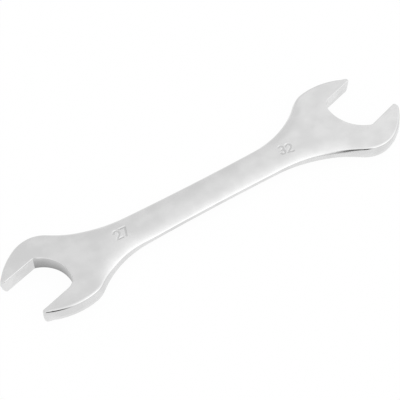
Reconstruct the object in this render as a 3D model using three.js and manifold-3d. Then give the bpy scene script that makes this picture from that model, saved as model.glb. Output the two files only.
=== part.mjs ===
import * as THREE from 'three';
import Module from 'manifold-3d';

// Double open end wrench. It is one piece of steel with no moving part: drop forged to its outline,
// polished, the two jaws broached into the heads, then chrome plated.
// Millimetres, +Z up, lying flat on its heads. X runs along the shank from the small head to the
// large head. The origin is the middle of the bounding box, on the plane under the two heads.

// The two jaws across their flats, the distance between their centres and their slant to the shank
const smallJaw = 27;
const largeJaw = 32;
const jawSpacing = 196;
const jawSlantDegrees = 15;

// Thickness of the heads, section of the shank at its waist, and radius of its slightly hollow sides
const headThickness = 9.7;
const shankThickness = 6.9;
const shankWidth = 19.7;
const waistRadius = 1980;

// Edges left by forging and polishing: draft of the walls, rounding of their rims, corners of the tips
const draftDegrees = 12.5;
const rimRadius = 1.2;
const tipRadius = 2.2;

// Edges of a broached jaw: rounded lips at the mouth and a chamfer along both faces
const lipRadius = 2;
const jawChamfer = 0.35;

// Oval section of the shank: how square it is, and how far round it the side reaches before the face
const ovalPower = 3;
const ovalSideDegrees = 72;

// Where the head thins down to the shank, and where its wall and flat face turn into the oval,
// measured from the centre of the jaw towards the shank in shares of the jaw size
const thinning = { beginShare: 0.94, endShare: 2.01 };
const rounding = { beginShare: 0.42, endShare: 1 };

// Throat of a jaw in shares of its size: a wide arc across the bottom, off centre, with a roomy
// corner to one flat and a tight corner to the other
const throatShares = {
  forward: 0.598,
  aside: 0.069,
  arc: 0.683,
  roomyCorner: 0.26,
  tightCorner: 0.086,
};

// The two sides of a head, in degrees and in shares of the jaw size. One side meets the shank in a
// shoulder and the other flows into it. From the tip inwards each side has the long arc of the
// horn, a tighter bend, a straight fall and a hollow blend into the shank.
const shoulderSide = {
  turn: 1,
  hornEndDegrees: 102,
  fallDegrees: 39.5,
  shares: { tip: 0.91, bendForward: -0.226, bendAside: 0.403, bend: 0.559, horn: 1.528, blend: 1.87 },
};
const flowingSide = {
  turn: -1,
  hornEndDegrees: 59.3,
  fallDegrees: 33.5,
  shares: { tip: 1, bendForward: 0.214, bendAside: 0.203, bend: 0.75, horn: 1.517, blend: 2.45 },
};

// How many steps each curve is cut into
const steps = { mouth: 2, tip: 4, horn: 10, bend: 7, fall: 7, blend: 9, waist: 10, rim: 4, face: 6 };
const jawSteps = { lip: 5, throat: 20, roomyCorner: 8, tightCorner: 5 };

// Every cutter runs past the metal by this much
const overrun = 2;

const jawSlant = THREE.MathUtils.degToRad(jawSlantDegrees);
const draft = THREE.MathUtils.degToRad(draftDegrees);
const ovalSide = THREE.MathUtils.degToRad(ovalSideDegrees);
const headHalf = headThickness / 2;
const shankHalf = shankThickness / 2;
const waistHalf = shankWidth / 2;
const waistCentre = new THREE.Vector2(0, waistHalf + waistRadius);

const unit = (angle) => new THREE.Vector2(Math.cos(angle), Math.sin(angle));
const step = (start, direction, distance) => start.clone().addScaledVector(direction, distance);
const signedAngle = (v) => Math.atan2(v.y, v.x);

// A run is a list of points of an outline, each with the direction that points out of the metal.
// A hollow arc has its centre outside the metal.
function arcRun(centre, radius, from, to, count, hollow = false) {
  const run = [];
  for (let i = 0; i <= count; i += 1) {
    const direction = unit(THREE.MathUtils.lerp(from, to, i / count));
    run.push({ point: step(centre, direction, radius), out: hollow ? direction.negate() : direction });
  }
  return run;
}

function straightRun(start, end, out, count) {
  const run = [];
  for (let i = 0; i <= count; i += 1) {
    run.push({ point: start.clone().lerp(end, i / count), out: out.clone() });
  }
  return run;
}

// Runs one after the other, each without its last point, which begins the next one
const chain = (...runs) => runs.flatMap((run) => run.slice(0, -1));

// A run mirrored left to right or top to bottom, and listed backwards to keep its way round
function mirrored(run, x, y) {
  const mirror = (v) => new THREE.Vector2(v.x * x, v.y * y);
  return run.map(({ point, out }) => ({ point: mirror(point), out: mirror(out) })).reverse();
}

// Where the two tips of a jaw end, in the frame of the jaw, which opens to +X
function jawTips(size) {
  return {
    upper: new THREE.Vector2(size * shoulderSide.shares.tip, size / 2),
    lower: new THREE.Vector2(size * flowingSide.shares.tip, -size / 2),
  };
}

// One side of a head that opens to +X, drawn with that side up, from the middle of the mouth to the
// waist of the shank. Every stretch is tangent to the next. The mouth is a straight front edge,
// because the forging is closed there until its jaw is broached.
function headSide(size, side) {
  const jawCentre = new THREE.Vector2(jawSpacing / 2, 0);
  const tips = jawTips(size);
  const placed = (tip) => new THREE.Vector2(tip.x, tip.y * side.turn)
    .rotateAround(new THREE.Vector2(), jawSlant * side.turn)
    .add(jawCentre);
  const ownTip = placed(side.turn > 0 ? tips.upper : tips.lower);
  const otherTip = placed(side.turn > 0 ? tips.lower : tips.upper);
  const mouthMiddle = ownTip.clone().lerp(otherTip, 1 / 2);
  const upMouth = ownTip.clone().sub(otherTip).normalize();
  const outOfMouth = new THREE.Vector2(upMouth.y, -upMouth.x);

  const bendRadius = size * side.shares.bend;
  const hornRadius = size * side.shares.horn;
  const blendRadius = size * side.shares.blend;
  const hornEnd = THREE.MathUtils.degToRad(side.hornEndDegrees);
  const bendEnd = Math.PI / 2 + THREE.MathUtils.degToRad(side.fallDegrees);
  const bendOffset = new THREE.Vector2(size * side.shares.bendForward, size * side.shares.bendAside);
  const bendCentre = jawCentre.clone().add(bendOffset);
  const hornCentre = step(bendCentre, unit(hornEnd), bendRadius - hornRadius);

  // The rounded corner of the tip touches the mouth line and, from inside, the arc of the horn
  const besideMouth = step(mouthMiddle, outOfMouth, -tipRadius);
  const toHorn = hornCentre.clone().sub(besideMouth);
  const climb = Math.sqrt((hornRadius - tipRadius) ** 2 - toHorn.dot(outOfMouth) ** 2);
  const tipCentre = step(besideMouth, upMouth, toHorn.dot(upMouth) + climb);
  const tipBegin = signedAngle(outOfMouth);
  const tipEnd = signedAngle(tipCentre.clone().sub(hornCentre));

  // The hollow blend touches the straight fall and, from inside, the long hollow arc of the waist
  const outOfFall = unit(bendEnd);
  const downFall = new THREE.Vector2(-outOfFall.y, outOfFall.x);
  const besideFall = step(bendCentre, outOfFall, bendRadius + blendRadius);
  const fromWaist = besideFall.clone().sub(waistCentre);
  const slide = fromWaist.dot(downFall);
  const depth = Math.sqrt((waistRadius - blendRadius) ** 2 - fromWaist.lengthSq() + slide ** 2);
  const blendCentre = step(besideFall, downFall, depth - slide);
  const blendEnd = signedAngle(blendCentre.clone().sub(waistCentre));

  const tipStart = step(tipCentre, outOfMouth, tipRadius);
  const fallStart = step(bendCentre, outOfFall, bendRadius);
  const fallEnd = step(blendCentre, outOfFall, -blendRadius);
  return {
    head: chain(
      straightRun(mouthMiddle, tipStart, outOfMouth, steps.mouth),
      arcRun(tipCentre, tipRadius, tipBegin, tipEnd, steps.tip),
      arcRun(hornCentre, hornRadius, tipEnd, hornEnd, steps.horn),
      arcRun(bendCentre, bendRadius, hornEnd, bendEnd, steps.bend),
    ),
    neck: chain(
      straightRun(fallStart, fallEnd, outOfFall, steps.fall),
      arcRun(blendCentre, blendRadius, bendEnd - Math.PI, blendEnd, steps.blend, true),
    ),
    blendEnd,
  };
}

// One long side of the wrench, drawn with that side up, from the mouth of the large head to the
// mouth of the small one
function longSide(largeSide, smallSide) {
  const large = headSide(largeJaw, largeSide);
  const small = headSide(smallJaw, smallSide);
  const waist = arcRun(waistCentre, waistRadius, large.blendEnd, -Math.PI - small.blendEnd, steps.waist, true);
  return {
    largeHead: large.head,
    shank: [...large.neck, ...waist, ...mirrored(small.neck, -1, 1)],
    smallHead: mirrored(small.head, -1, 1),
  };
}

// How far the change to the shank has come at a place: half the thickness there, and how much of the
// section is already oval. It runs along the axis of the nearer jaw, from its centre to the shank.
function neckSection(place) {
  const end = place.x < 0 ? { size: smallJaw, side: -1 } : { size: largeJaw, side: 1 };
  const jawCentre = new THREE.Vector2(end.side * jawSpacing / 2, 0);
  const jawAxis = unit(jawSlant).multiplyScalar(end.side);
  const inwardShare = jawCentre.sub(place).dot(jawAxis) / end.size;
  const changed = ({ beginShare, endShare }) => THREE.MathUtils.smoothstep(inwardShare, beginShare, endShare);
  return { half: THREE.MathUtils.lerp(headHalf, shankHalf, changed(thinning)), ovalShare: changed(rounding) };
}

// Section of the wall above the middle plane, level by level. A head has a drafted wall and a
// rounded rim. The shank has the outer part of its oval.
function wallSection(level, { half, ovalShare }) {
  const climb = Math.max(level - 1, 0) / steps.rim;
  const rimAngle = THREE.MathUtils.lerp(draft, Math.PI / 2, climb);
  const rimStart = half - rimRadius + rimRadius * Math.sin(draft);
  const walled = {
    inset: level ? rimStart * Math.tan(draft) + rimRadius * (Math.cos(draft) - Math.cos(rimAngle)) : 0,
    height: level ? half - rimRadius + rimRadius * Math.sin(rimAngle) : 0,
  };
  const ovalAngle = ovalSide * level / (steps.rim + 1);
  const oval = {
    inset: waistHalf * (1 - Math.cos(ovalAngle) ** (2 / ovalPower)),
    height: half * Math.sin(ovalAngle) ** (2 / ovalPower),
  };
  return {
    inset: THREE.MathUtils.lerp(walled.inset, oval.inset, ovalShare),
    height: THREE.MathUtils.lerp(walled.height, oval.height, ovalShare),
  };
}

// Height of the face above the middle plane: flat on the heads, the top of the oval on the shank.
// The place across runs from 1 at one side of the face to -1 at the other.
function faceHeight(across, { half, ovalShare }) {
  const ovalPlace = Math.abs(across) * Math.cos(ovalSide) ** (2 / ovalPower);
  const crown = half * (1 - ovalPlace ** ovalPower) ** (1 / ovalPower);
  return THREE.MathUtils.lerp(half, crown, ovalShare);
}

// The skin of a solid under construction. Faces are listed as seen from above. With upward at -1
// they are seen from below, and each triangle is turned over.
class Skin {
  constructor() {
    this.places = [];
    this.corners = [];
  }

  add(x, y, z) {
    return this.places.push(new THREE.Vector3(x, y, z)) - 1;
  }

  triangle(a, b, c, upward) {
    this.corners.push(a, ...(upward > 0 ? [b, c] : [c, b]));
  }

  // Band of triangles between two lists of corners of one length
  band(outer, inner, upward, closed) {
    const last = closed ? outer.length : outer.length - 1;
    for (let i = 0; i < last; i += 1) {
      const next = (i + 1) % outer.length;
      this.triangle(outer[i], outer[next], inner[next], upward);
      this.triangle(outer[i], inner[next], inner[i], upward);
    }
  }

  cap(loop, upward) {
    const contour = loop.map((corner) => new THREE.Vector2(this.places[corner].x, this.places[corner].y));
    for (const [a, b, c] of THREE.ShapeUtils.triangulateShape(contour, [])) {
      this.triangle(loop[a], loop[b], loop[c], upward);
    }
  }

  geometry() {
    const geometry = new THREE.BufferGeometry().setFromPoints(this.places);
    return geometry.setIndex(this.corners);
  }
}

// The forging before its jaws are cut. Rings of points climb from the middle plane up the wall and
// over the rim. Crowned rungs then close the shank, and flat caps close the two heads.
function forgedBlank() {
  const upper = longSide(shoulderSide, flowingSide);
  const lower = longSide(flowingSide, shoulderSide);
  const upperRun = [...upper.largeHead, ...upper.shank, ...upper.smallHead];
  const lowerRun = mirrored([...lower.largeHead, ...lower.shank, ...lower.smallHead], 1, -1);
  const outline = [...upperRun, ...lowerRun.slice(1, -1)];
  const skin = new Skin();
  const ringAt = (level, upward) => outline.map(({ point, out }) => {
    const { inset, height } = wallSection(level, neckSection(point));
    const place = step(point, out, -inset);
    return skin.add(place.x, place.y, headHalf + upward * height);
  });
  const middleRing = ringAt(0, 1);
  for (const upward of [1, -1]) {
    let ring = middleRing;
    for (let level = 1; level <= steps.rim + 1; level += 1) {
      const next = ringAt(level, upward);
      skin.band(ring, next, upward, true);
      ring = next;
    }
    closeFace(skin, ring, upper.largeHead.length, upper.shank.length, upward);
  }
  return skin.geometry();
}

// Closes one face inside the top ring. The ring starts in the middle of the large mouth, so corner
// i on the upper long side faces the corner i places before the start on the lower one.
function closeFace(skin, ring, headCount, shankCount, upward) {
  const facing = (i) => ring[(ring.length - i) % ring.length];
  const rungs = [];
  for (let i = headCount; i < headCount + shankCount; i += 1) {
    const [top, bottom] = [skin.places[ring[i]], skin.places[facing(i)]];
    const rung = [ring[i]];
    for (let j = 1; j < steps.face; j += 1) {
      const place = top.clone().lerp(bottom, j / steps.face);
      const height = faceHeight(1 - 2 * j / steps.face, neckSection(place));
      rung.push(skin.add(place.x, place.y, headHalf + upward * height));
    }
    rungs.push([...rung, facing(i)]);
  }
  for (let r = 1; r < rungs.length; r += 1) {
    skin.band(rungs[r], rungs[r - 1], upward, false);
  }
  const lastRung = headCount + shankCount - 1;
  const largeFace = [...ring.slice(ring.length - headCount), ...ring.slice(0, headCount + 1)];
  const smallFace = ring.slice(lastRung, ring.length - lastRung + 1);
  skin.cap([...largeFace, ...rungs[0].slice(1, -1)], upward);
  skin.cap([...smallFace, ...rungs[rungs.length - 1].slice(1, -1).reverse()], upward);
}

// Outline of the space in a jaw that opens to +X: upper lip, upper flat, throat with its two
// corners, lower flat, lower lip. Widening moves every line and arc into the metal alike.
function jawOutline(size, widening) {
  const half = size / 2;
  const arcCentre = new THREE.Vector2(size * throatShares.forward, size * throatShares.aside);
  const arcRadius = size * throatShares.arc;
  const cornerCentre = (radius, y) => {
    const behind = Math.sqrt((arcRadius - radius) ** 2 - (y - arcCentre.y) ** 2);
    return new THREE.Vector2(arcCentre.x - behind, y);
  };
  const roomyRadius = size * throatShares.roomyCorner;
  const tightRadius = size * throatShares.tightCorner;
  const roomyCentre = cornerCentre(roomyRadius, half - roomyRadius);
  const tightCentre = cornerCentre(tightRadius, tightRadius - half);
  const roomyEnd = roomyCentre.clone().sub(arcCentre).angle();
  const tightBegin = tightCentre.clone().sub(arcCentre).angle();

  // A lip touches the flat and the mouth line that joins the two tips
  const tips = jawTips(size);
  const outOfMouth = signedAngle(tips.lower.clone().sub(tips.upper)) + Math.PI / 2;
  const lipCentre = (y) => {
    const mouthX = tips.upper.x + (tips.upper.y - y) * Math.tan(outOfMouth);
    return new THREE.Vector2(mouthX - lipRadius / Math.cos(outOfMouth), y);
  };
  const upperLip = lipCentre(half + lipRadius);
  const lowerLip = lipCentre(-half - lipRadius);
  const arc = (...values) => arcRun(...values).map(({ point }) => point);
  const metal = lipRadius - widening;
  const upper = arc(upperLip, metal, outOfMouth, -Math.PI / 2, jawSteps.lip);
  const lower = arc(lowerLip, metal, Math.PI / 2, outOfMouth, jawSteps.lip);
  const beyond = tips.lower.x + overrun;
  return [
    new THREE.Vector2(beyond, upper[0].y),
    ...upper,
    ...arc(roomyCentre, roomyRadius + widening, Math.PI / 2, roomyEnd, jawSteps.roomyCorner),
    ...arc(arcCentre, arcRadius + widening, roomyEnd, tightBegin, jawSteps.throat).slice(1, -1),
    ...arc(tightCentre, tightRadius + widening, tightBegin, 3 * Math.PI / 2, jawSteps.tightCorner),
    ...lower,
    new THREE.Vector2(beyond, lower[lower.length - 1].y),
  ];
}

// Cutter of one jaw: upright through the head, widened by the chamfer at both faces
function jawCutter(size) {
  const skin = new Skin();
  const levels = [
    { z: -overrun, widening: jawChamfer },
    { z: 0, widening: jawChamfer },
    { z: jawChamfer, widening: 0 },
    { z: headThickness - jawChamfer, widening: 0 },
    { z: headThickness, widening: jawChamfer },
    { z: headThickness + overrun, widening: jawChamfer },
  ];
  const rings = levels.map(({ z, widening }) => jawOutline(size, widening).map(({ x, y }) => skin.add(x, y, z)));
  for (let r = 1; r < rings.length; r += 1) {
    skin.band(rings[r - 1], rings[r], 1, true);
  }
  skin.cap(rings[0], -1);
  skin.cap(rings[rings.length - 1], 1);
  return skin.geometry();
}

const wasm = await Module();
wasm.setup();

function solidOf(geometry) {
  const mesh = new wasm.Mesh({
    numProp: 3,
    vertProperties: new Float32Array(geometry.getAttribute('position').array),
    triVerts: new Uint32Array(geometry.getIndex().array),
  });
  return new wasm.Manifold(mesh);
}

function geometryOf(solid) {
  const mesh = solid.getMesh();
  const geometry = new THREE.BufferGeometry();
  geometry.setAttribute('position', new THREE.Float32BufferAttribute(mesh.vertProperties, 3));
  geometry.setIndex([...mesh.triVerts]);
  geometry.computeVertexNormals();
  return geometry;
}

const largeSpace = jawCutter(largeJaw).rotateZ(jawSlant).translate(jawSpacing / 2, 0, 0);
const smallSpace = jawCutter(smallJaw).rotateZ(jawSlant + Math.PI).translate(-jawSpacing / 2, 0, 0);
const forging = solidOf(forgedBlank()).subtract(solidOf(largeSpace)).subtract(solidOf(smallSpace));
const body = geometryOf(forging);
body.computeBoundingBox();
const middle = body.boundingBox.getCenter(new THREE.Vector3());
body.translate(-middle.x, -middle.y, -body.boundingBox.min.z);

const chrome = new THREE.MeshStandardMaterial({ color: 0xd6d7d8, roughness: 0.16, metalness: 1 });
const wrench = new THREE.Mesh(body, chrome);
wrench.name = 'wrench_forging';

const part = new THREE.Group();
part.name = 'open_end_wrench';
part.add(wrench);

export default part;
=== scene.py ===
"""Double open end wrench, drop forged in one piece and chrome plated, dressed over its solid model.

The forging is built again as one fine closed mesh: a smooth outline of tangent arcs, a trimmed
parting line, drafted walls, rounded rims that turn into an oval shank, broached jaws with broken
edges, and the two jaw sizes stamped into both faces. Plan sizes are in millimetres, with +X along
the shank to the large head. Meshes are written in metres.
"""

from __future__ import annotations

import logging
import math
from dataclasses import dataclass, field
from enum import Enum

import bpy
import numpy as np
from mathutils import Matrix, Vector
from mathutils.geometry import delaunay_2d_cdt

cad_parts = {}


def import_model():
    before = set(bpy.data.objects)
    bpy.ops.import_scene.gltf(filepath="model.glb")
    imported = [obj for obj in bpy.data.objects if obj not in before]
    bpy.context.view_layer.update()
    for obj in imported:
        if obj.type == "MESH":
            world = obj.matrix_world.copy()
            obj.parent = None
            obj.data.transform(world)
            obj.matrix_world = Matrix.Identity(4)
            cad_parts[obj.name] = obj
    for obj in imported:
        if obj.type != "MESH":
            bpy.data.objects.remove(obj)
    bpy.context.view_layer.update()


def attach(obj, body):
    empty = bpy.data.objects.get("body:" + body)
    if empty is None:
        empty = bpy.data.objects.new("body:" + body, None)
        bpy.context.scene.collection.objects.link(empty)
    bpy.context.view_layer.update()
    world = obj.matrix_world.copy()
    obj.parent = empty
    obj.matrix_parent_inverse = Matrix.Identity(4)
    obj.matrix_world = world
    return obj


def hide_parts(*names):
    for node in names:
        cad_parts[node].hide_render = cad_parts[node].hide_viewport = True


log = logging.getLogger("wrench")

Socket = bpy.types.NodeSocket

METRES = 0.001  # in a millimetre
ROW_SHARE = 0.866  # height of a row of a triangular lattice, in pitches
HOLLOW_TURN = -1e-4  # turn of the outline, in radians, below which it is hollow
MERGE_SPAN = 1e-6  # distance within which a triangulation merges places
CHUNK = 2000  # places measured at a time


def dot(a: complex, b: complex) -> float:
    """Returns the dot product of two plan vectors."""
    return (a * b.conjugate()).real


def heading(vector: complex) -> float:
    """Returns the angle of a plan vector, in radians."""
    return math.atan2(vector.imag, vector.real)


def toward(angle: float) -> complex:
    """Returns the plan vector of length one at an angle in radians."""
    return complex(math.cos(angle), math.sin(angle))


def eased(share: np.ndarray) -> np.ndarray:
    """Returns shares from 0 to 1 eased at both ends."""
    share = np.clip(share, 0.0, 1.0)
    return share * share * (3.0 - 2.0 * share)


def boxed(places: np.ndarray, centre: complex, reach: complex) -> np.ndarray:
    """Returns which places lie in a box, given its middle, half its length and half its width."""
    offset = places - centre
    return (np.abs(offset.real) <= reach.real) & (np.abs(offset.imag) <= reach.imag)


def grey(level: float) -> tuple[float, float, float, float]:
    """Returns the opaque grey of a brightness."""
    return (level, level, level, 1.0)


class Face(Enum):
    """The two broad faces of the wrench, as the sign of their height above the middle plane."""

    UPPER = 1
    UNDER = -1


class Skin(Enum):
    """The finishes on the forging, as the index of their material slot."""

    PLATE = 0
    WALL = 1
    BROACHED = 2
    THROAT = 3
    STAMPED = 4


class Edge(Enum):
    """How a mapped value changes between its two ends, as the name that Blender has for it."""

    STRAIGHT = "LINEAR"
    SOFT = "SMOOTHSTEP"


@dataclass(frozen=True)
class Run:
    """A stretch of the outline."""

    places: np.ndarray  # in plan, in order
    outs: np.ndarray  # directions of length one that point out of the metal
    machined: np.ndarray  # how far each place belongs to a broached wall, from 0 to 1

    def moved(self, turn: complex, shift: complex) -> "Run":
        """Returns the run turned about the origin by a vector of length one, and then shifted."""
        return Run(self.places * turn + shift, self.outs * turn, self.machined)

    def backwards(self) -> "Run":
        """Returns the run in the other order."""
        return Run(self.places[::-1], self.outs[::-1], self.machined[::-1])

    def mirrored(self) -> "Run":
        """Returns the run mirrored top to bottom, in the other order."""
        return Run(self.places.conj(), self.outs.conj(), self.machined).backwards()


def chained(*runs: Run) -> Run:
    """Joins runs that follow each other, with all their places."""
    return Run(*(np.concatenate([getattr(run, part) for run in runs]) for part in ("places", "outs", "machined")))


def joined(*runs: Run) -> Run:
    """Joins runs that begin where the one before ends, each without its last place."""
    return chained(*(Run(run.places[:-1], run.outs[:-1], run.machined[:-1]) for run in runs))


@dataclass(frozen=True)
class Pen:
    """Cuts arcs and lines of the outline into short steps."""

    reach: float = 0.5  # longest step
    turn_degrees: float = 6.0  # largest turn between two steps
    shortest: float = 0.125  # length of the shortest line that is drawn

    def arc(
        self, centre: complex, radius: float, start: float, end: float, hollow: bool = False, machined: float = 0.0
    ) -> Run:
        """Draws an arc.

        Args:
            centre: Middle of the arc.
            radius: Its radius.
            start: Angle at which it begins, in radians.
            end: Angle at which it ends.
            hollow: Whether its middle lies outside the metal.
            machined: Share of broached wall along it.

        Returns:
            The run along the arc.
        """
        sweep = abs(end - start)
        count = max(2, math.ceil(sweep * radius / self.reach), math.ceil(sweep / math.radians(self.turn_degrees)))
        outs = np.exp(1j * np.linspace(start, end, count + 1))
        return Run(centre + radius * outs, -outs if hollow else outs, np.full(count + 1, machined))

    def line(self, start: complex, end: complex, out: complex, machined: float = 0.0) -> Run:
        """Draws a straight line.

        Args:
            start: Where it begins.
            end: Where it ends.
            out: Direction out of the metal beside it.
            machined: Share of broached wall along it.

        Returns:
            The run along the line.
        """
        count = max(2, math.ceil(abs(end - start) / self.reach))
        places = start + (end - start) * np.linspace(0.0, 1.0, count + 1)
        return Run(places, np.full(count + 1, out), np.full(count + 1, machined))


@dataclass(frozen=True)
class HornSide:
    """One side of a head, in degrees and in shares of the jaw size."""

    turn: int  # 1 for the side that meets the shank in a shoulder, -1 for the one that flows into it
    horn_end: float  # angle at which the long arc of the horn turns into the bend
    fall: float  # steepest slant of the fall to the shank
    tip: float  # how far the tip reaches past the middle of the jaw
    bend_forward: float  # middle of the bend along the shank
    bend_aside: float  # and across it
    bend: float  # radius of the bend
    horn: float  # radius of the horn
    blend: float  # radius of the hollow blend into the shank


@dataclass(frozen=True)
class Throat:
    """The bottom of a jaw, in shares of its size."""

    forward: float = 0.598  # middle of the wide arc along the jaw
    aside: float = 0.069  # and across it
    arc: float = 0.683  # radius of the wide arc
    roomy_corner: float = 0.26  # radius of the corner on the shoulder side
    tight_corner: float = 0.086  # radius of the corner on the flowing side


@dataclass(frozen=True)
class WrenchPlan:
    """The outline of the wrench in plan: two heads of one pattern, and the shank between them."""

    small_jaw: float = 27.0
    large_jaw: float = 32.0
    jaw_spacing: float = 196.0  # between the middles of the jaws
    slant: float = math.radians(15.0)  # of the jaws to the shank
    lip_share: float = 0.6  # of the round of a tip, over which the broached wall ends
    waist_half: float = 9.95
    waist_radius: float = 1980.0
    shoulder: HornSide = HornSide(1, 102.0, 39.5, 0.914, -0.226, 0.4006, 0.559, 1.57, 2.0)
    flowing: HornSide = HornSide(-1, 59.3, 33.5, 0.994, 0.214, 0.203, 0.75, 1.58, 2.9)
    throat: Throat = Throat()
    pen: Pen = Pen()
    nose_limits: tuple[float, float] = (0.1, 12.0)  # radii tried for the round of a tip
    nose_halvings: int = 50

    @property
    def waist_centre(self) -> complex:
        """Middle of the long hollow arc along the waist of the shank."""
        return complex(0.0, self.waist_half + self.waist_radius)

    def tips(self, size: float) -> tuple[complex, complex]:
        """Returns the shoulder tip and the flowing tip of a jaw of some size that opens to +X."""
        return complex(size * self.shoulder.tip, size / 2), complex(size * self.flowing.tip, -size / 2)

    def noses(self) -> list[tuple[complex, float]]:
        """Finds the rounds of all four tips.

        Returns:
            The middle and the radius of each.
        """
        found = []
        for size, turn in ((self.large_jaw, 1.0), (self.small_jaw, -1.0)):
            for side in (self.shoulder, self.flowing):
                run = self.head_side(size, side)[0]
                radius = abs(run.places[0] - run.places[-1]) / abs(run.outs[0] - run.outs[-1])
                centre = run.places[0] - run.outs[0] * radius
                found.append((turn * (centre if side.turn > 0 else centre.conjugate()), radius))
        return found

    def nose(self, corner: complex, along: complex, out: complex, horn_centre: complex, horn_radius: float) -> float:
        """Finds the full round of a tip, which touches its jaw flat, the line across the mouth and its horn.

        Args:
            corner: Sharp corner of the flat and the mouth line, with the metal above it.
            along: Direction of the flat, out of the jaw.
            out: Direction out of the mouth line.
            horn_centre: Middle of the horn.
            horn_radius: Its radius.

        Returns:
            The radius of the round.
        """
        small, large = self.nose_limits
        for _ in range(self.nose_halvings):
            radius = (small + large) / 2
            centre = self.nose_centre(corner, along, out, radius)
            small, large = (radius, large) if abs(centre - horn_centre) < horn_radius - radius else (small, radius)
        return radius

    @staticmethod
    def nose_centre(corner: complex, along: complex, out: complex, radius: float) -> complex:
        """Returns the middle of a round of a given radius that touches a flat and the mouth line."""
        return corner - along * radius * (1.0 + dot(1j * along, out)) / dot(along, out) + 1j * along * radius

    def touch(self, bend_centre: complex, bend_radius: float, blend_radius: float) -> float:
        """Finds where a hollow blend that touches the waist touches the bend, if no fall is between them.

        Args:
            bend_centre: Middle of the bend.
            bend_radius: Its radius.
            blend_radius: Radius of the blend.

        Returns:
            The angle on the bend, in radians.
        """
        to_waist = self.waist_centre - bend_centre
        gap, reach, beyond = abs(to_waist), bend_radius + blend_radius, self.waist_radius - blend_radius
        return heading(to_waist) + math.acos((reach**2 + gap**2 - beyond**2) / (2.0 * reach * gap))

    def head_side(self, size: float, side: HornSide) -> tuple[Run, Run, float, float]:
        """Draws one side of a head that opens to +X, with that side up.

        Args:
            size: Size of the jaw across its flats.
            side: Shape of the side.

        Returns:
            The round of the tip from the jaw flat on, the rest down to the waist, the angle on the
            waist arc at which that rest ends, and how far along the jaw its flat ends.
        """
        centre = complex(self.jaw_spacing / 2, 0.0)
        along = toward(self.slant * side.turn)
        placed = [
            (tip if side.turn > 0 else tip.conjugate()) * along + centre for tip in self.tips(size)[:: side.turn]
        ]
        out = -1j * (placed[0] - placed[1]) / abs(placed[0] - placed[1])

        bend_radius, horn_radius, blend_radius = size * side.bend, size * side.horn, size * side.blend
        horn_end = math.radians(side.horn_end)
        bend_centre = centre + complex(size * side.bend_forward, size * side.bend_aside)
        bend_end = min(math.radians(90.0 + side.fall), self.touch(bend_centre, bend_radius, blend_radius))
        horn_centre = bend_centre + toward(horn_end) * (bend_radius - horn_radius)

        radius = self.nose(placed[0], along, out, horn_centre, horn_radius)
        nose_centre = self.nose_centre(placed[0], along, out, radius)
        nose_end = heading(nose_centre - horn_centre)
        flat_end = size * side.tip + dot(nose_centre - placed[0], along)

        out_of_fall = toward(bend_end)
        down_fall = 1j * out_of_fall
        beside_fall = bend_centre + out_of_fall * (bend_radius + blend_radius)
        from_waist = beside_fall - self.waist_centre
        slide = dot(from_waist, down_fall)
        depth = math.sqrt((self.waist_radius - blend_radius) ** 2 - abs(from_waist) ** 2 + slide**2)
        blend_centre = beside_fall + down_fall * (depth - slide)
        blend_end = heading(blend_centre - self.waist_centre)

        nose = self.pen.arc(nose_centre, radius, heading(-1j * along), nose_end)
        share = np.linspace(0.0, 1.0, len(nose.places)) / self.lip_share
        fall_begin, fall_end = bend_centre + out_of_fall * bend_radius, blend_centre - out_of_fall * blend_radius
        fallen = abs(fall_end - fall_begin) > self.pen.shortest
        rest = joined(
            self.pen.arc(horn_centre, horn_radius, nose_end, horn_end),
            self.pen.arc(bend_centre, bend_radius, horn_end, bend_end),
            *([self.pen.line(fall_begin, fall_end, out_of_fall)] if fallen else []),
            self.pen.arc(blend_centre, blend_radius, bend_end - math.pi, blend_end, hollow=True),
        )
        return Run(nose.places, nose.outs, eased(1.0 - share)), rest, blend_end, flat_end

    def jaw(self, size: float, upper_end: float, lower_end: float) -> Run:
        """Draws the broached jaw that opens to +X, from its upper tip to its lower tip.

        Args:
            size: Size of the jaw across its flats.
            upper_end: How far out its upper flat ends.
            lower_end: How far out its lower flat ends.

        Returns:
            The flats with the throat between them.
        """
        half = size / 2
        arc_centre = complex(size * self.throat.forward, size * self.throat.aside)
        arc_radius = size * self.throat.arc
        roomy, tight = size * self.throat.roomy_corner, size * self.throat.tight_corner

        def corner_centre(radius: float, y: float) -> complex:
            """Returns the middle of a corner that touches its flat and the wide arc."""
            return complex(arc_centre.real - math.sqrt((arc_radius - radius) ** 2 - (y - arc_centre.imag) ** 2), y)

        roomy_centre = corner_centre(roomy, half - roomy)
        tight_centre = corner_centre(tight, tight - half)
        roomy_end = heading(roomy_centre - arc_centre) % math.tau
        tight_begin = heading(tight_centre - arc_centre) % math.tau
        mouth = complex(lower_end, -half)
        inner = joined(
            self.pen.line(complex(upper_end, half), complex(roomy_centre.real, half), -1j, 1.0),
            self.pen.arc(roomy_centre, roomy, math.pi / 2, roomy_end, True, 1.0),
            self.pen.arc(arc_centre, arc_radius, roomy_end, tight_begin, True, 1.0),
            self.pen.arc(tight_centre, tight, tight_begin, 3 * math.pi / 2, True, 1.0),
            self.pen.line(complex(tight_centre.real, -half), mouth, 1j, 1.0),
        )
        return chained(inner, Run(np.array([mouth]), np.array([1j]), np.array([1.0])))

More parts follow.
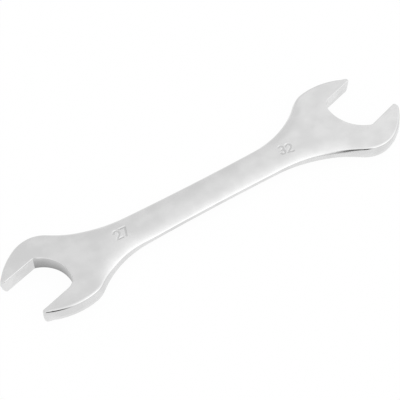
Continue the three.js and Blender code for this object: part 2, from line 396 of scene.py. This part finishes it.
    def head(self, size: float) -> tuple[Run, float, float]:
        """Draws a whole head that opens to +X, its shoulder side up.

        Args:
            size: Size of the jaw across its flats.

        Returns:
            The run from the waist under the head round its jaw to the waist above it, and the
            angles on the waist arcs at which it ends above and, mirrored, below.
        """
        upper_nose, upper_rest, upper_end, upper_flat = self.head_side(size, self.shoulder)
        lower_nose, lower_rest, lower_end, lower_flat = self.head_side(size, self.flowing)
        jaw = self.jaw(size, upper_flat, lower_flat).moved(toward(self.slant), complex(self.jaw_spacing / 2, 0.0))
        mouth = joined(lower_rest.mirrored(), lower_nose.mirrored(), jaw.backwards(), upper_nose)
        return chained(mouth, upper_rest), upper_end, lower_end

    def outline(self) -> Run:
        """Draws the closed outline anticlockwise, the large head first.

        Returns:
            The run round the whole wrench.
        """
        large, large_up, large_down = self.head(self.large_jaw)
        small, small_up, small_down = self.head(self.small_jaw)
        top = self.pen.arc(self.waist_centre, self.waist_radius, large_up, -math.pi - small_down, True)
        bottom = self.pen.arc(self.waist_centre, self.waist_radius, small_up, -math.pi - large_down, True)
        return chained(large, top, small.moved(-1.0, 0.0), bottom.moved(-1.0, 0.0))


@dataclass(frozen=True)
class Section:
    """The section of the forging above its middle plane, from the heads to the oval shank."""

    head_half: float = 4.85  # half the thickness of the heads
    shank_half: float = 3.45  # half the thickness of the shank
    draft: float = math.radians(12.5)  # slant of the drafted walls
    rim_radius: float = 1.5
    tip_rim: tuple[float, float] = (1.7, 3.2)  # width and height of the fuller rim round a tip
    tip_span: float = 6.0  # how far from the round of a tip its fuller rim reaches
    tip_room: tuple[float, float] = (0.88, 0.4)  # width of all rings at a tip, in its radii, and growth away from it
    trim_half: float = 0.45  # half the height of the upright band where the flash was trimmed
    trim_inset: float = 0.02  # how far that band leans in
    oval_reach: float = 9.85  # how far in from the side the oval shank reaches its full height
    oval_power: float = 2.5  # how square the oval is
    thinning: tuple[float, float] = (0.94, 2.01)  # where a head begins and ends to thin, in jaw sizes inward
    rounding: tuple[float, float] = (0.05, 0.78)  # where its section begins and ends to turn oval
    broken_edge: float = 0.5  # radius of the broken edges of a broached jaw
    margin: float = 0.12  # width of the last ring of the face, just inside the rims
    wall_shares: tuple[float, ...] = (0.15, 0.4, 0.65, 0.85, 1.0)  # levels of the drafted wall, in its heights
    band_shares: tuple[float, ...] = (0.0, 0.12, 0.28, 0.46, 0.66, 0.84, 1.0)  # levels of a broached wall
    rim_levels: int = 7

    def neck(self, plan: WrenchPlan, places: np.ndarray) -> tuple[np.ndarray, np.ndarray]:
        """Finds how far the change from head to shank has come.

        Args:
            plan: The outline in plan.
            places: Plan places.

        Returns:
            Half the thickness, and the share of oval in the section, at each place.
        """
        side = np.where(places.real < 0, -1.0, 1.0)
        size = np.where(places.real < 0, plan.small_jaw, plan.large_jaw)
        along_jaw = ((side * plan.jaw_spacing / 2 - places) * np.conj(side * toward(plan.slant))).real / size

        def change(span: tuple[float, float]) -> np.ndarray:
            """Returns how far a change along the neck has come."""
            return eased((along_jaw - span[0]) / (span[1] - span[0]))

        half = self.head_half + (self.shank_half - self.head_half) * change(self.thinning)
        return half, change(self.rounding)

    def crowned(self, inset: np.ndarray, walled: np.ndarray, half: np.ndarray, share: np.ndarray) -> np.ndarray:
        """Turns the height of the walled section of a head into that of the oval, by its share.

        Args:
            inset: Distance in from the outline.
            walled: Height of the walled section there.
            half: Half the thickness there.
            share: Share of oval in the section there.

        Returns:
            The height of the skin above the middle plane.
        """
        hollow = 1.0 - np.clip(inset / self.oval_reach, 0.0, 1.0)
        oval = half * (1.0 - hollow**self.oval_power) ** (1.0 / self.oval_power)
        return walled + (oval - walled) * share

    def rings(self, plan: WrenchPlan, outline: Run) -> list[tuple[np.ndarray, np.ndarray]]:
        """Lays the levels of the wall and of the rim round the outline.

        Args:
            plan: The outline in plan.
            outline: The same, drawn.

        Returns:
            Plan places and heights above the middle plane, level by level.
        """
        beside = [(np.abs(outline.places - centre) - radius, radius) for centre, radius in plan.noses()]
        fullness = eased(1.0 - np.min([gap for gap, _ in beside], axis=0) / self.tip_span)
        close, growth = self.tip_room
        room = np.min([close * radius + growth * np.maximum(gap, 0.0) for gap, radius in beside], axis=0)
        width, drop = (self.rim_radius + (full - self.rim_radius) * fullness for full in self.tip_rim)
        slope, half_here = math.tan(self.draft), self.neck(plan, outline.places)[0]
        wall = half_here - drop * (1.0 - math.sin(self.draft)) - self.trim_half

        leaning = [(0.0 * wall, 0.0 * wall)]
        for share in (0.0, *self.wall_shares):
            leaning.append((self.trim_inset + share * wall * slope, self.trim_half + share * wall))
        foot = leaning[-1][0]
        for angle in np.linspace(self.draft, math.pi / 2, self.rim_levels + 1)[1:]:
            inset = foot + width * (math.cos(self.draft) - math.cos(angle))
            leaning.append((inset, half_here - drop * (1.0 - math.sin(angle))))
        leaning.append((leaning[-1][0] + self.margin, half_here))

        band_top = self.head_half - self.broken_edge
        upright = [(0.0, band_top * share) for share in self.band_shares]
        for angle in np.linspace(0.0, math.pi / 2, self.rim_levels + 1)[1:]:
            upright.append((self.broken_edge * (1.0 - math.cos(angle)), band_top + self.broken_edge * math.sin(angle)))
        upright.append((self.broken_edge + self.margin, self.head_half))

        fit = np.minimum(1.0, room / leaning[-1][0])
        levels = []
        for (inset, height), (cut_inset, cut_height) in zip(leaning, upright):
            inset = inset * fit
            places = outline.places - outline.outs * (inset + (cut_inset - inset) * outline.machined)
            half, oval_share = self.neck(plan, places)
            forged = self.crowned(inset, height * half / half_here, half, oval_share)
            levels.append((places, forged + (cut_height - forged) * outline.machined))
        return levels


def bow(centre: complex, radius: float, start: float, end: float, count: int = 22) -> list[complex]:
    """Returns points along an arc of a stamped digit, with its angles in degrees."""
    return [centre + radius * toward(math.radians(angle)) for angle in np.linspace(start, end, count)]


class Digit(Enum):
    """The strokes of the digits used, in a cell of height one that begins at the origin."""

    TWO = (tuple(bow(0.31 + 0.7j, 0.27, 168.0, -38.0) + [0.04 + 0.03j, 0.62 + 0.03j]),)
    THREE = (
        tuple(bow(0.3 + 0.74j, 0.235, 150.0, -90.0)),
        tuple(bow(0.3 + 0.255j, 0.25, 90.0, -150.0)),
    )
    SEVEN = ((0.03 + 0.97j, 0.61 + 0.97j, 0.22 + 0.0j),)


@dataclass(frozen=True)
class SizeStamp:
    """A jaw size stamped into both faces."""

    digits: tuple[Digit, ...]  # in reading order
    centre: complex  # middle of the number in plan
    turn: float  # angle of its baseline to the shank
    height: float = 6.0  # of a digit
    pitch: float = 4.5  # from one digit to the next
    lead: complex = 0.05 - 0.5j  # from half the row back to the corner of the first digit, in heights
    stroke: float = 0.5  # width of the bottom of a stroke
    slope: float = 0.45  # width of its sloped sides
    depth: float = 0.36

    def dent(self, places: np.ndarray) -> np.ndarray:
        """Finds how deep the stamp is.

        Args:
            places: Plan places.

        Returns:
            The depth at each place, zero away from the strokes.
        """
        dent = np.zeros(len(places))
        near = np.abs(places - self.centre) < self.pitch + self.height / 2
        local = (places[near] - self.centre) * toward(-self.turn) / self.height
        nearest = np.full(len(local), np.inf)
        for index, digit in enumerate(self.digits):
            origin = (index - len(self.digits) / 2) * self.pitch / self.height + self.lead
            for stroke in digit.value:
                points = np.array(stroke) + origin
                for start, end in zip(points[:-1], points[1:]):
                    along = np.clip(((local - start) * np.conj(end - start)).real / abs(end - start) ** 2, 0.0, 1.0)
                    nearest = np.minimum(nearest, np.abs(local - start - along * (end - start)))
        dent[near] = self.depth * eased(1.0 - (nearest * self.height - self.stroke / 2) / self.slope)
        return dent


@dataclass(frozen=True)
class Grain:
    """A noise texture."""

    scale: float  # per metre
    detail: float
    stretch: tuple[float, float, float] = (1.0, 1.0, 1.0)  # scale of each axis


@dataclass
class Wiring:
    """A short way to add and join nodes in one tree."""

    tree: bpy.types.NodeTree

    @classmethod
    def over(cls, owner: bpy.types.Material | bpy.types.World) -> "Wiring":
        """Empties the nodes of a material or a world.

        Args:
            owner: What the nodes belong to.

        Returns:
            The wiring over them.
        """
        owner.use_nodes = True
        owner.node_tree.nodes.clear()
        return cls(owner.node_tree)

    @classmethod
    def group(cls, name: str, inputs: dict[str, float | None], outputs: tuple[str, ...]) -> "Wiring":
        """Makes an empty shader node group with named sockets.

        Args:
            name: Name of the group.
            inputs: First value of each input, or None for a vector.
            outputs: Names of the outputs, all numbers.

        Returns:
            The wiring over the group.
        """
        tree = bpy.data.node_groups.new(name, "ShaderNodeTree")
        for label, value in inputs.items():
            kind = "NodeSocketVector" if value is None else "NodeSocketFloat"
            socket = tree.interface.new_socket(label, in_out="INPUT", socket_type=kind)
            if value is not None:
                socket.default_value = value
        for label in outputs:
            tree.interface.new_socket(label, in_out="OUTPUT", socket_type="NodeSocketFloat")
        return cls(tree)

    def add(
        self, kind: str, feeds: dict[str | int, Socket | float | tuple[float, ...]] | None = None, **settings: object
    ) -> bpy.types.Node:
        """Adds a node.

        Args:
            kind: Type of the node.
            feeds: What goes into its inputs, sockets to join or constant values.
            settings: Its properties.

        Returns:
            The node.
        """
        node = self.tree.nodes.new(kind)
        for name, value in settings.items():
            setattr(node, name, value)
        for label, feed in (feeds or {}).items():
            if isinstance(feed, Socket):
                self.tree.links.new(feed, node.inputs[label])
            else:
                node.inputs[label].default_value = feed
        return node

    def noise(self, place: Socket, grain: Grain) -> Socket:
        """Adds a noise texture.

        Args:
            place: Where it is read.
            grain: The noise.

        Returns:
            Its value.
        """
        mapped = self.add("ShaderNodeMapping", {"Vector": place, "Scale": grain.stretch}).outputs["Vector"]
        feeds = {"Vector": mapped, "Scale": grain.scale, "Detail": grain.detail}
        return self.add("ShaderNodeTexNoise", feeds).outputs["Fac"]

    def ranged(
        self, value: Socket, source: tuple[float, float], target: tuple[float, float], edge: Edge = Edge.STRAIGHT
    ) -> Socket:
        """Maps a value from one range to another and returns the result."""
        feeds = dict(zip(("From Min", "From Max", "To Min", "To Max"), source + target), Value=value)
        return self.add("ShaderNodeMapRange", feeds, interpolation_type=edge.value).outputs["Result"]

    def upward(self, vector: Socket) -> Socket:
        """Returns the share of a vector along Z."""
        return self.add("ShaderNodeSeparateXYZ", {"Vector": vector}).outputs["Z"]

    def math(self, operation: str, first: Socket, second: Socket | float) -> Socket:
        """Returns the result of a math node over two values."""
        return self.add("ShaderNodeMath", {0: first, 1: second}, operation=operation).outputs["Value"]

    def shared(self, first: Socket, second: Socket, share: float) -> Socket:
        """Returns the sum of a share of one value and the rest of another."""
        rest = self.math("MULTIPLY", second, 1.0 - share)
        return self.math("ADD", self.math("MULTIPLY", first, share), rest)


@dataclass
class PolishMarks:
    """Shared effect: fine lines left by a polishing belt along the wrench, and soft smears over them."""

    fine: Grain = Grain(900.0, 3.0, (0.05, 1.0, 0.4))
    coarse: Grain = Grain(260.0, 2.0, (0.12, 1.0, 0.5))
    fine_share: float = 0.6
    smear: Grain = Grain(105.0, 3.0, (0.8, 1.0, 1.0))
    group: bpy.types.NodeTree = field(init=False)

    def __post_init__(self) -> None:
        """Builds the group."""
        wiring = Wiring.group("polish_marks", {"Place": None, "Strength": 1.0}, ("Lines", "Smears"))
        self.group = wiring.tree
        entry = wiring.add("NodeGroupInput").outputs
        fine, coarse, smears = (wiring.noise(entry["Place"], grain) for grain in (self.fine, self.coarse, self.smear))
        marks = {"Lines": wiring.shared(fine, coarse, self.fine_share), "Smears": smears}
        feeds = {label: wiring.math("MULTIPLY", value, entry["Strength"]) for label, value in marks.items()}
        wiring.add("NodeGroupOutput", feeds)


@dataclass
class PlateRipple:
    """Shared effect: the faint waviness of plated steel, broad swells with a finer skin on them."""

    swell: Grain = Grain(55.0, 1.5)
    skin: Grain = Grain(480.0, 2.0)
    group: bpy.types.NodeTree = field(init=False)

    def __post_init__(self) -> None:
        """Builds the group."""
        wiring = Wiring.group("plate_ripple", {"Place": None, "Swell": 1.0, "Skin": 0.2}, ("Height",))
        self.group = wiring.tree
        entry = wiring.add("NodeGroupInput").outputs
        swell = wiring.math("MULTIPLY", wiring.noise(entry["Place"], self.swell), entry["Swell"])
        skin = wiring.math("MULTIPLY", wiring.noise(entry["Place"], self.skin), entry["Skin"])
        wiring.add("NodeGroupOutput", {"Height": wiring.math("ADD", swell, skin)})


@dataclass(frozen=True)
class Finish:
    """A metal finish, which can carry painted shade towards its underside."""

    name: str
    bright: float  # brightness of its brighter patches
    dull: float  # and of its duller ones
    roughness: tuple[float, float]  # lowest and highest
    marks: float  # height of its lines, as a share of the bump distance
    swell: float  # height of the broad waves, likewise
    skin: float  # height of the fine skin, likewise
    bump: float  # bump distance in metres
    upright: bool = False  # whether its lines run up the wall, as a broach leaves them
    foot: float = 1.0  # share of its brightness left at the underside: painted shade, darker towards the bottom of the wall
    broach: Grain = Grain(1500.0, 2.0, (1.0, 1.0, 0.03))  # the lines up the wall
    smear_span: tuple[float, float] = (0.38, 0.62)  # of the smears, spread over both colours
    underside_shade_span: tuple[float, float] = (0.0, 0.009)  # heights over which the painted shade fades out upward, in metres
    mark_span: tuple[float, float] = (0.2, 0.8)  # of the marks, spread over the roughness
    line_share: float = 0.6  # of the lines in the marks, beside the smears

    def material(self, marks: PolishMarks, ripple: PlateRipple) -> bpy.types.Material:
        """Builds the material.

        Args:
            marks: The polishing lines.
            ripple: The waviness of the plate.

        Returns:
            The material.
        """
        material = bpy.data.materials.new(self.name)
        wiring = Wiring.over(material)
        place = wiring.add("ShaderNodeTexCoord").outputs["Object"]
        lined = wiring.add("ShaderNodeGroup", {"Place": place, "Strength": 1.0}, node_tree=marks.group).outputs
        waves = {"Place": place, "Swell": self.swell, "Skin": self.skin}
        waved = wiring.add("ShaderNodeGroup", waves, node_tree=ripple.group).outputs

        smears = wiring.ranged(lined["Smears"], self.smear_span, (0.0, 1.0))
        tones = {"Factor": smears, "A": grey(self.dull), "B": grey(self.bright)}
        patches = wiring.add("ShaderNodeMix", tones, data_type="RGBA").outputs["Result"]
        # Painted shade: the colour darkens from full brightness at the top to the foot share at the underside.
        shade = wiring.ranged(wiring.upward(place), self.underside_shade_span, (self.foot, 1.0))
        colour = wiring.add("ShaderNodeVectorMath", {0: patches, "Scale": shade}, operation="SCALE").outputs["Vector"]

        lines = wiring.noise(place, self.broach) if self.upright else lined["Lines"]
        roughness = wiring.ranged(wiring.shared(lines, smears, self.line_share), self.mark_span, self.roughness)
        height = wiring.math("ADD", waved["Height"], wiring.math("MULTIPLY", lines, self.marks))
        bump = wiring.add("ShaderNodeBump", {"Strength": 1.0, "Distance": self.bump, "Height": height})
        look = {"Metallic": 1.0, "Base Color": colour, "Roughness": roughness, "Normal": bump.outputs["Normal"]}
        metal = wiring.add("ShaderNodeBsdfPrincipled", look)
        wiring.add("ShaderNodeOutputMaterial", {"Surface": metal.outputs["BSDF"]})
        return material


@dataclass
class WrenchForging:
    """The one piece of the wrench, which stands for its solid in the frame."""

    name: str = "wrench_body"
    node: str = "wrench_forging"
    slot: str = "chrome_plated_steel"
    plan: WrenchPlan = field(default_factory=WrenchPlan)
    section: Section = field(default_factory=Section)
    stamps: tuple[SizeStamp, ...] = (
        SizeStamp((Digit.TWO, Digit.SEVEN), -59.1 + 0.7j, 0.0),
        SizeStamp((Digit.THREE, Digit.TWO), 53.0 - 0.2j, math.radians(-15.0)),
    )
    flat_pitch: float = 2.4  # between mesh places where a face is flat
    crown_pitch: float = 0.9  # where it is crowned
    margin_pitch: float = 0.4  # round a stamp
    stamp_pitch: float = 0.18  # in a stamp
    lattice_share: float = 0.75  # half the lattice, in jaw spacings and in large jaws
    stamp_margin: float = 0.7  # by which the places of a stamp reach beyond it
    turn_margin: float = 2.0  # added to that for each radian of its turn
    fade_margin: float = 1.2  # width of the places round a stamp
    clearance_share: float = 0.45  # from the rim to the places, in pitches
    broached_share: float = 0.6  # above which a stretch of wall has the broached finish
    throat_share: float = 0.25  # slant to the flats, above which a hollow stretch has the throat's finish
    stamped_depth: float = 0.15  # below which a face has the finish of a stamp
    finishes: dict[Skin, Finish] = field(
        default_factory=lambda: {
            Skin.PLATE: Finish("chrome_plate", 0.722, 0.672, (0.1, 0.19), 0.15, 1.0, 0.05, 0.00002),
            Skin.WALL: Finish("satin_plate", 0.76, 0.69, (0.2, 0.32), 0.3, 1.0, 0.06, 0.00002),
            Skin.BROACHED: Finish("broached_flat", 0.78, 0.67, (0.2, 0.34), 1.0, 0.4, 0.2, 0.00003, True),
            # The throat is darker than the flats: partly its duller broached surface, partly painted shade of the deep
            # recess, deepest at the underside.
            Skin.THROAT: Finish("broached_throat_painted_shade", 0.59, 0.5, (0.26, 0.42), 1.0, 0.4, 0.3, 0.00003, True, 0.5),
            Skin.STAMPED: Finish("stamped_recess", 0.62, 0.54, (0.22, 0.36), 0.3, 0.4, 0.6, 0.00004),
        }
    )

    def lattice(self, centre: complex, reach: complex, pitch: float) -> np.ndarray:
        """Lays a triangular lattice over a box.

        Args:
            centre: Middle of the box.
            reach: Half its length and half its width.
            pitch: Distance between neighbours.

        Returns:
            The plan places.
        """
        row_count, column_count = math.ceil(reach.imag / pitch / ROW_SHARE), math.ceil(reach.real / pitch)
        rows, columns = np.arange(-row_count, row_count + 1.0), np.arange(-column_count, column_count + 1.0)
        grid_x, grid_y = np.meshgrid(columns, rows)
        places = (grid_x + 0.5 * (grid_y % 2)) * pitch + 1j * grid_y * pitch * ROW_SHARE
        return places[boxed(places, 0j, reach)] + centre

    def distance(self, places: np.ndarray, line: np.ndarray, kept: np.ndarray) -> np.ndarray:
        """Measures how far places are from a closed line.

        Args:
            places: Plan places.
            line: Corners of the line.
            kept: Which stretches count, each named by its first corner.

        Returns:
            The distance of each place.
        """
        start, along = line[kept], (np.roll(line, -1) - line)[kept]
        squared = np.abs(along) ** 2
        nearest = np.empty(len(places))
        for first in range(0, len(places), CHUNK):
            offset = places[first : first + CHUNK, None] - start[None, :]
            share = np.clip((offset * np.conj(along)[None, :]).real / squared[None, :], 0.0, 1.0)
            nearest[first : first + CHUNK] = np.abs(offset - share * along[None, :]).min(axis=1)
        return nearest

    def face_places(self, ring: np.ndarray, middle: complex) -> np.ndarray:
        """Scatters the places inside a face: wide where it is flat, close where it is crowned or stamped.

        Args:
            ring: The closed line round the face.
            middle: Middle of the wrench, about which the underside is mirrored.

        Returns:
            Plan places inside the ring.
        """
        reach = complex(self.plan.jaw_spacing, self.plan.large_jaw) * self.lattice_share
        groups = []
        for pitch, crowned in ((self.flat_pitch, False), (self.crown_pitch, True)):
            places = self.lattice(0j, reach, pitch)
            groups.append((places[(self.section.neck(self.plan, places)[1] > 0.0) == crowned], pitch))
        for stamp in self.stamps:
            centre = complex(stamp.centre.real, middle.imag)
            half_width = stamp.height / 2 + abs(stamp.centre.imag - middle.imag)
            beyond = self.stamp_margin + self.turn_margin * abs(stamp.turn)
            half_box = complex(stamp.pitch, half_width) + (1.0 + 1.0j) * beyond
            wide_box = half_box + (1.0 + 1.0j) * self.fade_margin
            groups = [(places[~boxed(places, centre, wide_box)], pitch) for places, pitch in groups]
            margin = self.lattice(centre, wide_box, self.margin_pitch)
            groups.append((margin[~boxed(margin, centre, half_box)], self.margin_pitch))
            groups.append((self.lattice(centre, half_box, self.stamp_pitch), self.stamp_pitch))
        inner = []
        for places, pitch in groups:
            crossings = np.zeros(len(places), dtype=int)
            for start, end in zip(ring, np.roll(ring, -1)):
                spans = (start.imag > places.imag) != (end.imag > places.imag)
                if spans.any():
                    reached = start.real + (places.imag - start.imag) / (end.imag - start.imag) * (end - start).real
                    crossings += spans & (places.real < reached)
            places = places[crossings % 2 == 1]
            far = self.distance(places, ring, np.ones(len(ring), dtype=bool)) > self.clearance_share * pitch
            inner.append(places[far])
        return np.concatenate(inner)

    def triangles(self, ring: np.ndarray, inside: np.ndarray) -> np.ndarray:
        """Fills a face with triangles.

        Args:
            ring: The closed line round the face.
            inside: Plan places inside it.

        Returns:
            Three corners of each triangle, counted along the ring and then over the places inside.
        """
        count = len(ring)
        _, _, faces, origins, _, _ = delaunay_2d_cdt(
            [Vector((place.real, place.imag)) for place in np.concatenate([ring, inside])],
            [(i, (i + 1) % count) for i in range(count)],
            [],
            1,
            MERGE_SPAN,
        )
        return np.array([[origins[corner][0] for corner in face] for face in faces])

    def wall_skins(self, outline: Run) -> np.ndarray:
        """Chooses the finish of the wall.

        Args:
            outline: The drawn outline.

        Returns:
            The material slot of the wall on each stretch, each named by its first place.
        """
        cut = (outline.machined + np.roll(outline.machined, -1)) / 2 > self.broached_share
        hollow = np.angle(np.roll(outline.outs, -1) / outline.outs) < HOLLOW_TURN
        deep = hollow & (np.abs((outline.outs * toward(-self.plan.slant)).real) > self.throat_share)
        return np.where(cut, np.where(deep, Skin.THROAT.value, Skin.BROACHED.value), Skin.WALL.value)

    def build_mesh(self) -> bpy.types.Mesh:
        """Builds the closed mesh of the forging.

        Returns:
            The mesh, in metres, with a material slot for each finish.
        """
        outline = self.plan.outline()
        count = len(outline.places)
        middle = complex(*((part.min() + part.max()) / 2 for part in (outline.places.real, outline.places.imag)))
        rings = self.section.rings(self.plan, outline)
        inside = self.face_places(rings[-1][0], middle)
        forged = (outline.machined == 0.0) & (np.roll(outline.machined, -1) == 0.0)
        half, oval_share = self.section.neck(self.plan, inside)
        lift = self.section.crowned(self.distance(inside, outline.places, forged), half, half, oval_share)
        triangles = self.triangles(rings[-1][0], inside)

        points, faces, slots = [np.column_stack([rings[0][0].real, rings[0][0].imag, rings[0][1]])], [], []
        around, after = np.arange(count), (np.arange(count) + 1) % count
        sides, rim = self.wall_skins(outline), np.full(count, Skin.PLATE.value)
        satin = len(self.section.wall_shares) + 1
        total = count
        for face in Face:
            previous = around
            for level, (places, heights) in enumerate(rings[1:]):
                points.append(np.column_stack([places.real, places.imag, face.value * heights]))
                current = total + around
                total += count
                quads = np.column_stack([previous, previous[after], current[after], current])
                faces.extend((quads if face is Face.UPPER else quads[:, ::-1]).tolist())
                slots.extend((sides if level < satin else rim).tolist())
                previous = current
            seen = inside if face is Face.UPPER else inside.conj() + 2j * middle.imag
            dent = sum(stamp.dent(seen) for stamp in self.stamps)
            points.append(np.column_stack([inside.real, inside.imag, face.value * (lift - dent)]))
            corners = np.concatenate([previous, total + np.arange(len(inside))])[triangles]
            total += len(inside)
            faces.extend((corners if face is Face.UPPER else corners[:, ::-1]).tolist())
            stamped = np.concatenate([np.zeros(count), dent])[triangles].mean(axis=1) > self.stamped_depth
            slots.extend(np.where(stamped, Skin.STAMPED.value, Skin.PLATE.value).tolist())

        places = np.concatenate(points) + np.array([-middle.real, -middle.imag, self.section.head_half])
        mesh = bpy.data.meshes.new(self.name)
        mesh.from_pydata((places * METRES).tolist(), [], faces)
        mesh.polygons.foreach_set("material_index", slots)
        mesh.polygons.foreach_set("use_smooth", [True] * len(faces))
        mesh.validate()
        mesh.update()
        return mesh

    def build(self) -> bpy.types.Object:
        """Builds, dresses and places the forging.

        Returns:
            The finished piece.
        """
        mesh = self.build_mesh()
        marks, ripple = PolishMarks(), PlateRipple()
        for skin in Skin:
            mesh.materials.append(self.finishes[skin].material(marks, ripple))
        body = bpy.data.objects.new(self.name, mesh)
        bpy.context.scene.collection.objects.link(body)
        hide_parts(self.node)
        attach(body, "root")
        return body


@dataclass(frozen=True)
class Cap:
    """A round part of the surroundings, where a level changes with the angle to its middle, in degrees."""

    azimuth: float
    elevation: float
    angles: tuple[float, float]  # to its middle, between which the level changes
    levels: tuple[float, float] = (0.0, 1.0)  # at those angles
    edge: Edge = Edge.SOFT

    def level(self, wiring: Wiring, direction: Socket) -> Socket:
        """Adds the nodes of the cap.

        Args:
            wiring: The wiring of the world.
            direction: The direction that is looked in.

        Returns:
            The level in that direction.
        """
        turn, lean = math.radians(self.azimuth), math.radians(self.elevation)
        middle = (math.cos(turn) * math.cos(lean), math.sin(turn) * math.cos(lean), math.sin(lean))
        product = wiring.add("ShaderNodeVectorMath", {0: direction, 1: middle}, operation="DOT_PRODUCT")
        source = tuple(math.cos(math.radians(angle)) for angle in self.angles)
        return wiring.ranged(product.outputs["Value"], source, self.levels, self.edge)


@dataclass
class Studio:
    """The pale floor, the soft light over it and the camera, in metres and radians."""

    floor_radius: float = 4.0
    floor_sides: int = 96
    floor_grey: float = 0.92  # brightness of its matt share
    floor_glow: float = 0.96  # share of plain white in what is seen of it
    floor_drop: float = 0.0002  # below the wrench
    tent: float = 0.92  # level of the whole white tent
    panel: tuple[Cap, Cap] = (  # on the bright side of the tent, with its brighter middle
        Cap(-60.0, 0.0, (115.0, 20.0), (0.0, 0.53), Edge.STRAIGHT),
        Cap(-60.0, 0.0, (45.0, 15.0), (0.0, 0.35), Edge.STRAIGHT),
    )
    rise: tuple[float, float] = (0.17, 0.42)  # upward shares between which the panel fades in
    gap: tuple[Cap, Cap, Cap] = (  # overlap in the one darker gap of the tent, at the viewer
        Cap(-107.0, 5.0, (44.0, 32.0)),
        Cap(-36.0, 0.0, (88.0, 80.0)),
        Cap(177.0, 0.0, (96.0, 77.0)),
    )
    gap_level: float = 0.1  # share of the light that is left in the gap
    azimuth: float = math.radians(-35.569)
    elevation: float = math.radians(52.993)
    roll: float = math.radians(2.02)
    distance: float = 0.483226
    focal_share: float = 850.0 / 400.0  # focal length in widths of the picture
    target: tuple[float, float, float] = (-0.011466, -0.002018, 0.00485)
    sensor_width: float = 36.0  # in millimetres

    def build_floor(self) -> bpy.types.Object:
        """Builds the round floor, which shows white and keeps the shadow of the wrench.

        Returns:
            The floor.
        """
        turns = np.linspace(0.0, math.tau, self.floor_sides, endpoint=False)
        rim = [(self.floor_radius * math.cos(t), self.floor_radius * math.sin(t), -self.floor_drop) for t in turns]
        mesh = bpy.data.meshes.new("studio_floor")
        mesh.from_pydata(rim, [], [list(range(len(rim)))])
        material = bpy.data.materials.new("studio_floor")
        wiring = Wiring.over(material)
        matt = wiring.add("ShaderNodeBsdfDiffuse", {"Color": grey(self.floor_grey)})
        glow = wiring.add("ShaderNodeEmission", {"Strength": 1.0})
        path = wiring.add("ShaderNodeLightPath").outputs
        seen = wiring.math("MAXIMUM", path["Is Camera Ray"], path["Is Glossy Ray"])
        seen = wiring.math("MAXIMUM", seen, path["Is Transmission Ray"])
        feeds = {"Fac": wiring.math("MULTIPLY", seen, self.floor_glow), 1: matt.outputs["BSDF"]}
        mixed = wiring.add("ShaderNodeMixShader", {**feeds, 2: glow.outputs["Emission"]})
        wiring.add("ShaderNodeOutputMaterial", {"Surface": mixed.outputs["Shader"]})
        mesh.materials.append(material)
        floor = bpy.data.objects.new("studio_floor", mesh)
        bpy.context.scene.collection.objects.link(floor)
        return floor

    def build_world(self) -> bpy.types.World:
        """Builds the soft surroundings: a white tent, brighter on one side, with a darker gap at the viewer.

        Returns:
            The world.
        """
        world = bpy.data.worlds.new("studio")
        bpy.context.scene.world = world
        wiring = Wiring.over(world)
        direction = wiring.add("ShaderNodeTexCoord").outputs["Generated"]
        wide, middle = (cap.level(wiring, direction) for cap in self.panel)
        raised = wiring.ranged(wiring.upward(direction), self.rise, (0.0, 1.0))
        panel = wiring.math("MULTIPLY", wiring.math("ADD", wide, middle), raised)
        tall, left, right = (cap.level(wiring, direction) for cap in self.gap)
        overlap = wiring.math("MULTIPLY", tall, wiring.math("MULTIPLY", left, right))
        dimmed = wiring.ranged(overlap, (0.0, 1.0), (1.0, self.gap_level))
        glow = wiring.math("MULTIPLY", wiring.math("ADD", panel, self.tent), dimmed)
        background = wiring.add("ShaderNodeBackground", {"Color": grey(1.0), "Strength": glow})
        wiring.add("ShaderNodeOutputWorld", {"Surface": background.outputs["Background"]})
        return world

    def build_camera(self) -> bpy.types.Object:
        """Sets the camera where the photograph was taken from.

        Returns:
            The camera.
        """
        turn, lean = self.azimuth, self.elevation
        back = Vector((math.sin(turn) * math.cos(lean), -math.cos(turn) * math.cos(lean), math.sin(lean)))
        right = Vector((math.cos(turn), math.sin(turn), 0.0))
        up = back.cross(right)
        rolled_right = right * math.cos(self.roll) + up * math.sin(self.roll)
        rolled_up = up * math.cos(self.roll) - right * math.sin(self.roll)
        data = bpy.data.cameras.new("camera")
        data.sensor_width = self.sensor_width
        data.sensor_fit = "HORIZONTAL"
        data.lens = self.focal_share * self.sensor_width
        camera = bpy.data.objects.new("camera", data)
        axes = Matrix((rolled_right, rolled_up, back)).transposed().to_4x4()
        camera.matrix_world = Matrix.Translation(Vector(self.target) + back * self.distance) @ axes
        bpy.context.scene.collection.objects.link(camera)
        bpy.context.scene.camera = camera
        return camera


def main() -> None:
    """Builds the wrench over the frame, then the studio round it."""
    logging.basicConfig(level=logging.INFO, format="%(message)s")
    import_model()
    bpy.context.scene.view_settings.view_transform = "Standard"

    body = WrenchForging().build()
    log.info("%s: %d faces, box %s", body.name, len(body.data.polygons), [round(v, 5) for v in body.dimensions])

    studio = Studio()
    log.info("floor: %s", studio.build_floor().name)
    log.info("world: %s", studio.build_world().name)
    log.info("camera: %s", studio.build_camera().name)


if __name__ == "__main__":
    main()
